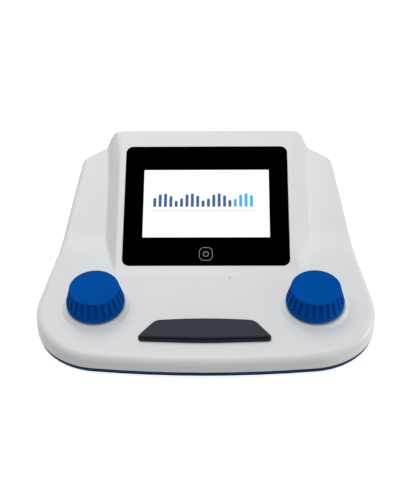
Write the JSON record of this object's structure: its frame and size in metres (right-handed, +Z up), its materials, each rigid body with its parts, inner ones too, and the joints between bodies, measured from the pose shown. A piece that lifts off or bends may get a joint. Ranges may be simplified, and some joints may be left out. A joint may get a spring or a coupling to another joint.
{
  "type": "desktop audiometer",
  "caption": "Desktop hearing-test unit: wedge case on a tray, tilted touch screen under flush glass, two fluted dials, a hinged tone key and rear sockets.",
  "frame": {"origin": "on the table under the middle of the case", "axes": "+X to the user's right, +Y to the back, +Z up"},
  "size_m": [0.2728, 0.2192, 0.0924],
  "materials": {
    "case_white": "fine moulded satin",
    "tray_blue": "fine moulded satin",
    "knob_blue": "moulded satin, fluted grip",
    "key_dark": "soft matte",
    "screen_glass": "black printed cover glass, polished",
    "foam": "closed-cell foam",
    "lcd": "lit panel",
    "steel": "zinc-plated",
    "ribbon": "flexible polyimide circuit",
    "board": "solder mask",
    "foot_rubber": "matte",
    "panel_black": "fine moulded",
    "socket_black": "moulded"
  },
  "bodies": {
    "housing": {"base_tray": "tray_blue", "board_screw_1": "steel", "board_screw_2": "steel", "board_screw_3": "steel", "board_screw_4": "steel", "bone_socket": "socket_black", "case_screw_1": "steel", "case_screw_2": "steel", "case_screw_3": "steel", "case_screw_4": "steel", "case_screw_5": "steel", "case_screw_6": "steel", "cradle_screw_left": "steel", "cradle_screw_right": "steel", "display_bracket": "steel", "display_ribbon": "ribbon", "display_screw_1": "steel", "display_screw_2": "steel", "display_screw_3": "steel", "display_screw_4": "steel", "foot_front_left": "foot_rubber", "foot_front_right": "foot_rubber", "foot_rear_left": "foot_rubber", "foot_rear_right": "foot_rubber", "glass_gasket": "foam", "headset_socket": "socket_black", "key_board": "board", "key_cradle": "steel", "key_pin_left": "steel", "key_pin_right": "steel", "key_spring_left": "steel", "key_spring_right": "steel", "key_surround": "key_dark", "key_switch": "socket_black", "lcd_module": "lcd", "left_bush_nut": "steel", "left_encoder_board": "board", "left_encoder_body": "socket_black", "main_board": "board", "microphone": "steel", "phones_socket_left": "socket_black", "phones_socket_right": "socket_black", "power_inlet": "socket_black", "rear_panel": "panel_black", "response_socket": "socket_black", "right_bush_nut": "steel", "right_encoder_board": "board", "right_encoder_body": "socket_black", "touch_glass": "screen_glass", "upper_cover": "case_white", "usb_socket": "steel"},
    "left_dial": {"left_knob": "knob_blue", "left_encoder_shaft": "steel"},
    "right_dial": {"right_knob": "knob_blue", "right_encoder_shaft": "steel"},
    "key": {"tone_key": "key_dark"}
  },
  "joints": [
    {"name": "left_dial_turn", "type": "hinge", "parent": "housing", "child": "left_dial", "pos_m": [-0.08785, -0.05064, 0.02598], "axis": [0, -0.0924, 0.9957], "continuous": true},
    {"name": "right_dial_turn", "type": "hinge", "parent": "housing", "child": "right_dial", "pos_m": [0.08785, -0.05064, 0.02598], "axis": [0, -0.0924, 0.9957], "continuous": true},
    {"name": "key_press", "type": "hinge", "parent": "housing", "child": "key", "pos_m": [0, -0.07536, 0.01455], "axis": [1, 0, 0], "range_deg": [0, 2.62], "stiffness_Nm_per_rad": 0.15, "springref_deg": -5.16, "deforming": ["key_spring_left", "key_spring_right"]}
  ]
}
